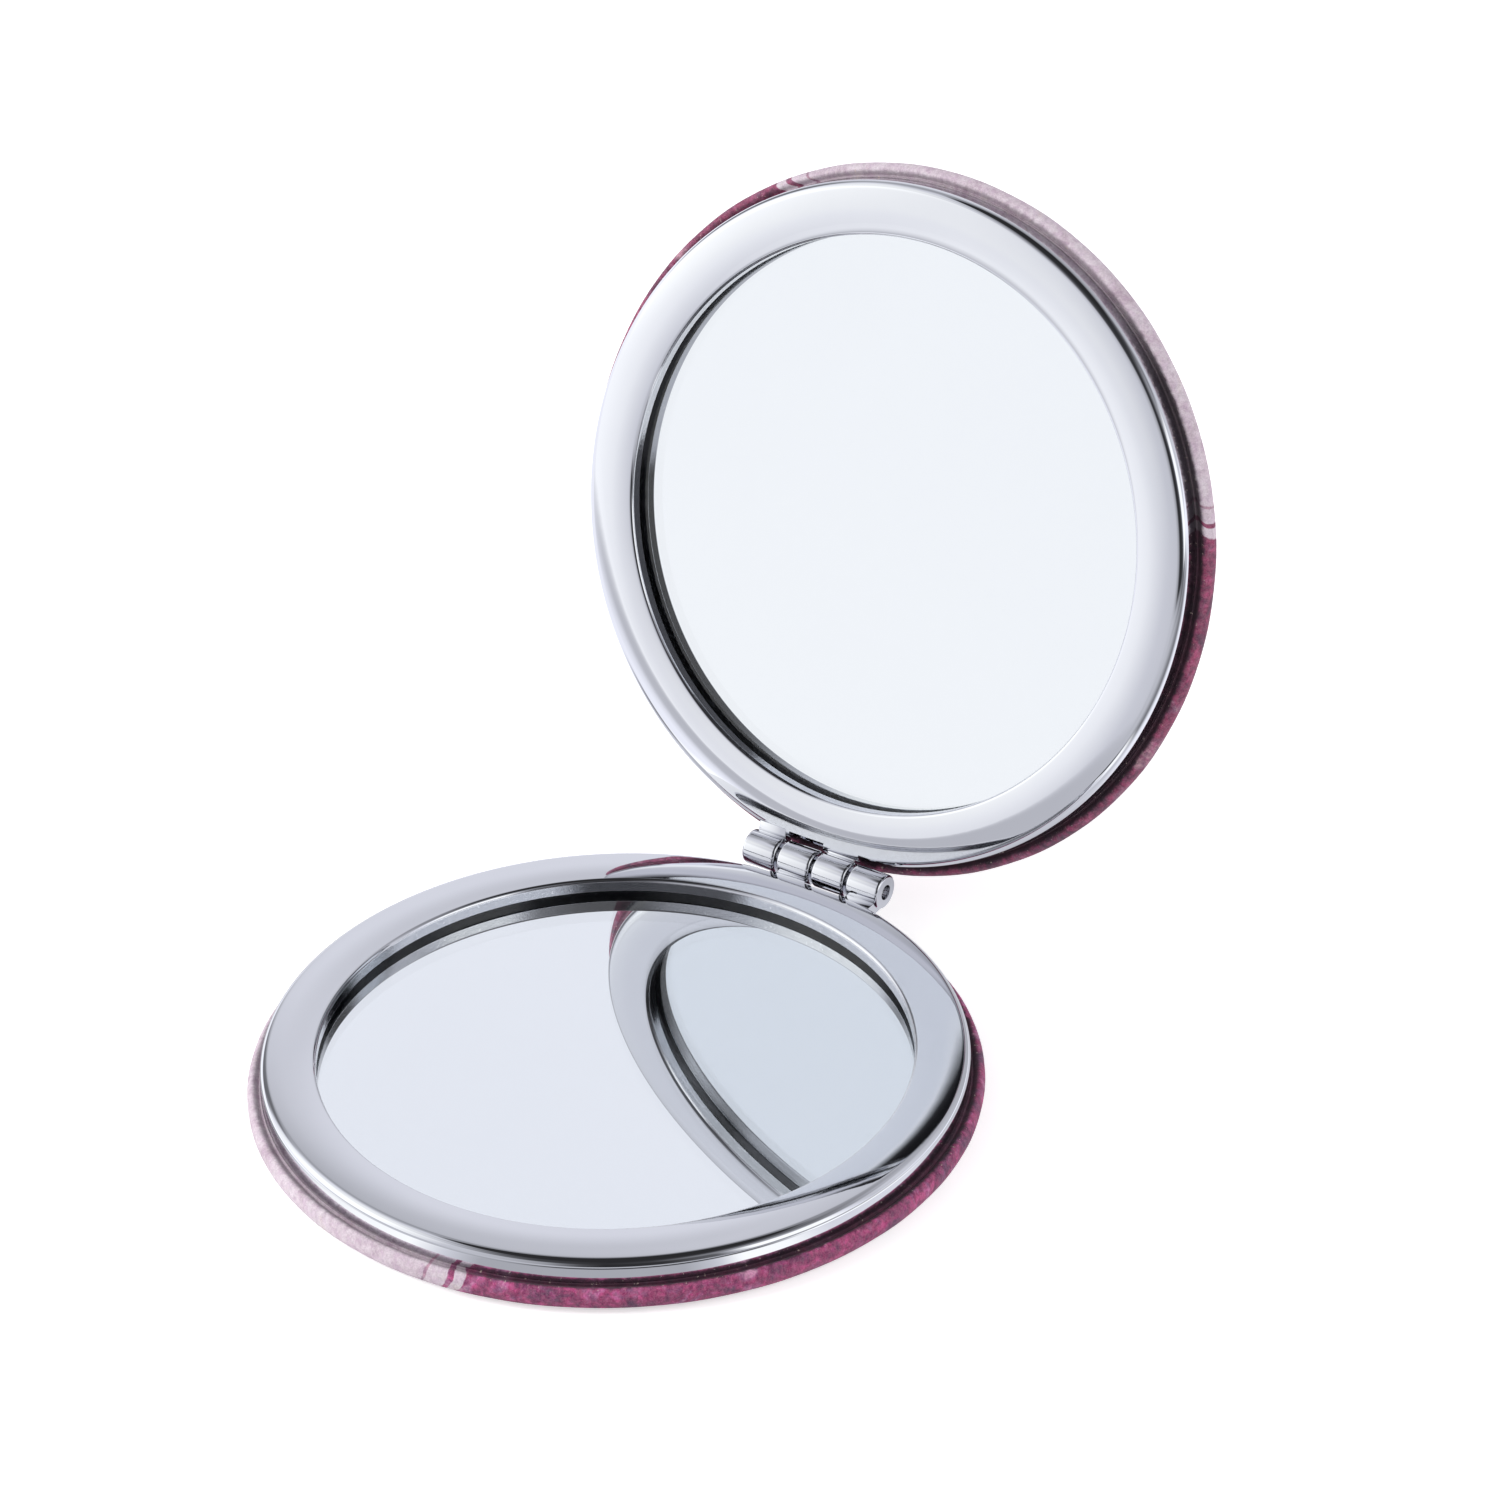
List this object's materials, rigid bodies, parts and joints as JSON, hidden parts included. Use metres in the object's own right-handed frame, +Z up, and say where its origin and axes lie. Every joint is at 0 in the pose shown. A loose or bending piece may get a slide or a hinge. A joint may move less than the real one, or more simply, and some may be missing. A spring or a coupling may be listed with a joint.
{
  "type": "compact mirror",
  "caption": "Round folding compact mirror: padded leatherette halves with domed chrome rims and recessed mirrors, joined by a barrel hinge.",
  "frame": {"origin": "centre of the flat underside of the lower half's cover", "axes": "+Z up, hinge axis along X at the +Y side of the lower half, lid leaning back over +Y"},
  "size_m": [0.07, 0.0969, 0.0708],
  "materials": {
    "chrome": "polished",
    "steel": "satin",
    "magnet": "nickel plated",
    "mirror": "silvered glass",
    "foam": "matt foam",
    "leatherette": "fine grain, printed"
  },
  "bodies": {
    "base": {"base_frame": "chrome", "base_hinge_leaf": "chrome", "hinge_pin": "steel", "base_magnets": "magnet", "base_mirror": "mirror", "base_mirror_pad": "foam", "base_back_plate": "steel", "base_foam": "foam", "base_cover": "leatherette"},
    "lid": {"lid_frame": "chrome", "lid_hinge_leaf": "chrome", "lid_magnets": "magnet", "lid_mirror": "mirror", "lid_mirror_pad": "foam", "lid_back_plate": "steel", "lid_foam": "foam", "lid_cover": "leatherette"}
  },
  "joints": [
    {"name": "lid_hinge", "type": "hinge", "parent": "base", "child": "lid", "pos_m": [0, 0.03515, 0.00535], "axis": [-1, 0, 0], "range_deg": [-108.5, 71.5]}
  ]
}
